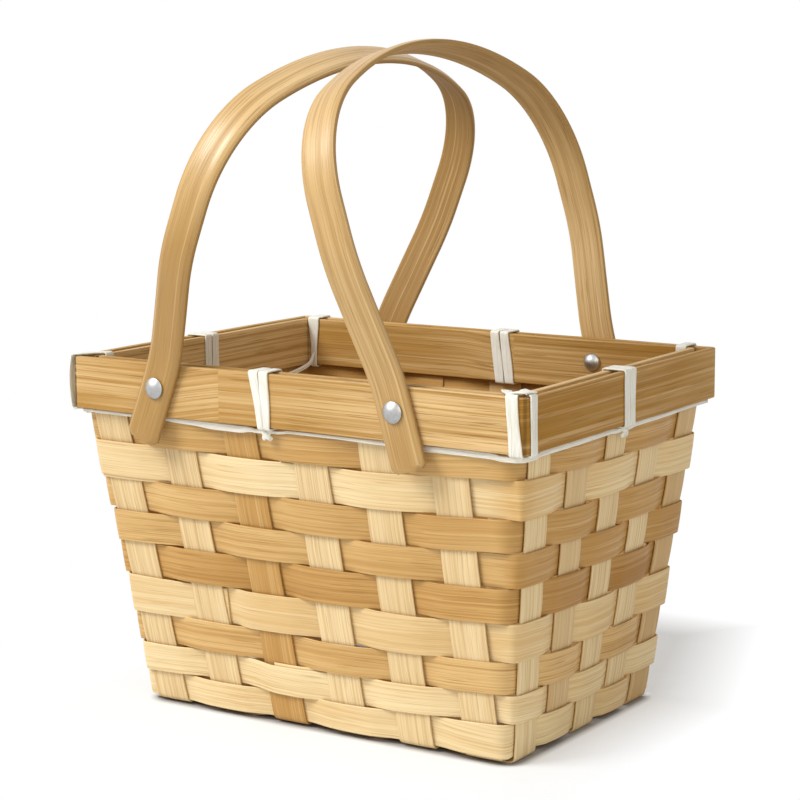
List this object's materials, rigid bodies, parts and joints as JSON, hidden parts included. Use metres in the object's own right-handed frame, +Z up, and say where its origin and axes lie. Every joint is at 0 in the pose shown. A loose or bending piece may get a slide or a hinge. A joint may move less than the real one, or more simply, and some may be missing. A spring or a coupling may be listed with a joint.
{
  "type": "bamboo basket",
  "caption": "Rectangular basket woven from flat bamboo strips, with a laced double rim hoop and two bent bamboo handles that swing on rivets.",
  "frame": {"origin": "middle of the underside of the woven base, on the surface that the basket stands on", "axes": "+X along the long sides to the end on the right, +Y from the front to the back, +Z upwards"},
  "size_m": [0.2032, 0.1826, 0.2616],
  "materials": {
    "stake_bamboo": "satin",
    "light_bamboo": "satin",
    "tan_bamboo": "satin",
    "brown_bamboo": "satin",
    "rim_bamboo": "satin",
    "handle_bamboo": "satin",
    "white_lacing": "satin",
    "rivet_metal": "satin"
  },
  "bodies": {
    "basket": {"cross_strip_1": "stake_bamboo", "cross_strip_2": "stake_bamboo", "cross_strip_3": "tan_bamboo", "cross_strip_4": "stake_bamboo", "cross_strip_5": "stake_bamboo", "cross_strip_6": "stake_bamboo", "length_strip_1": "stake_bamboo", "length_strip_2": "stake_bamboo", "length_strip_3": "stake_bamboo", "length_strip_4": "stake_bamboo", "length_strip_5": "stake_bamboo", "weaver_row_01": "light_bamboo", "weaver_row_02": "light_bamboo", "weaver_row_03": "tan_bamboo", "weaver_row_04": "light_bamboo", "weaver_row_05": "brown_bamboo", "weaver_row_06": "tan_bamboo", "weaver_row_07": "tan_bamboo", "weaver_row_08": "light_bamboo", "weaver_row_09": "tan_bamboo", "weaver_row_10": "brown_bamboo", "outer_hoop": "rim_bamboo", "inner_hoop": "rim_bamboo", "lacing_front_middle": "white_lacing", "lacing_right_middle": "white_lacing", "lacing_back_middle": "white_lacing", "lacing_left_middle": "white_lacing", "lacing_near_corner": "white_lacing", "lacing_left_corner": "white_lacing", "lacing_back_corner": "white_lacing", "lacing_right_corner": "white_lacing", "lacing_run": "white_lacing", "lacing_knots": "white_lacing", "rivet_front_left": "rivet_metal", "rivet_front_right": "rivet_metal", "rivet_back_left": "rivet_metal", "rivet_back_right": "rivet_metal"},
    "left_handle": {"handle_left": "handle_bamboo"},
    "right_handle": {"handle_right": "handle_bamboo"}
  },
  "joints": [
    {"name": "left_handle_hinge", "type": "hinge", "parent": "basket", "child": "left_handle", "pos_m": [-0.05846, 0, 0.131], "axis": [0, 1, 0], "range_deg": [-170.7, 1.5]},
    {"name": "right_handle_hinge", "type": "hinge", "parent": "basket", "child": "right_handle", "pos_m": [0.04899, 0, 0.131], "axis": [0, 1, 0], "range_deg": [-1.5, 166.4]}
  ]
}
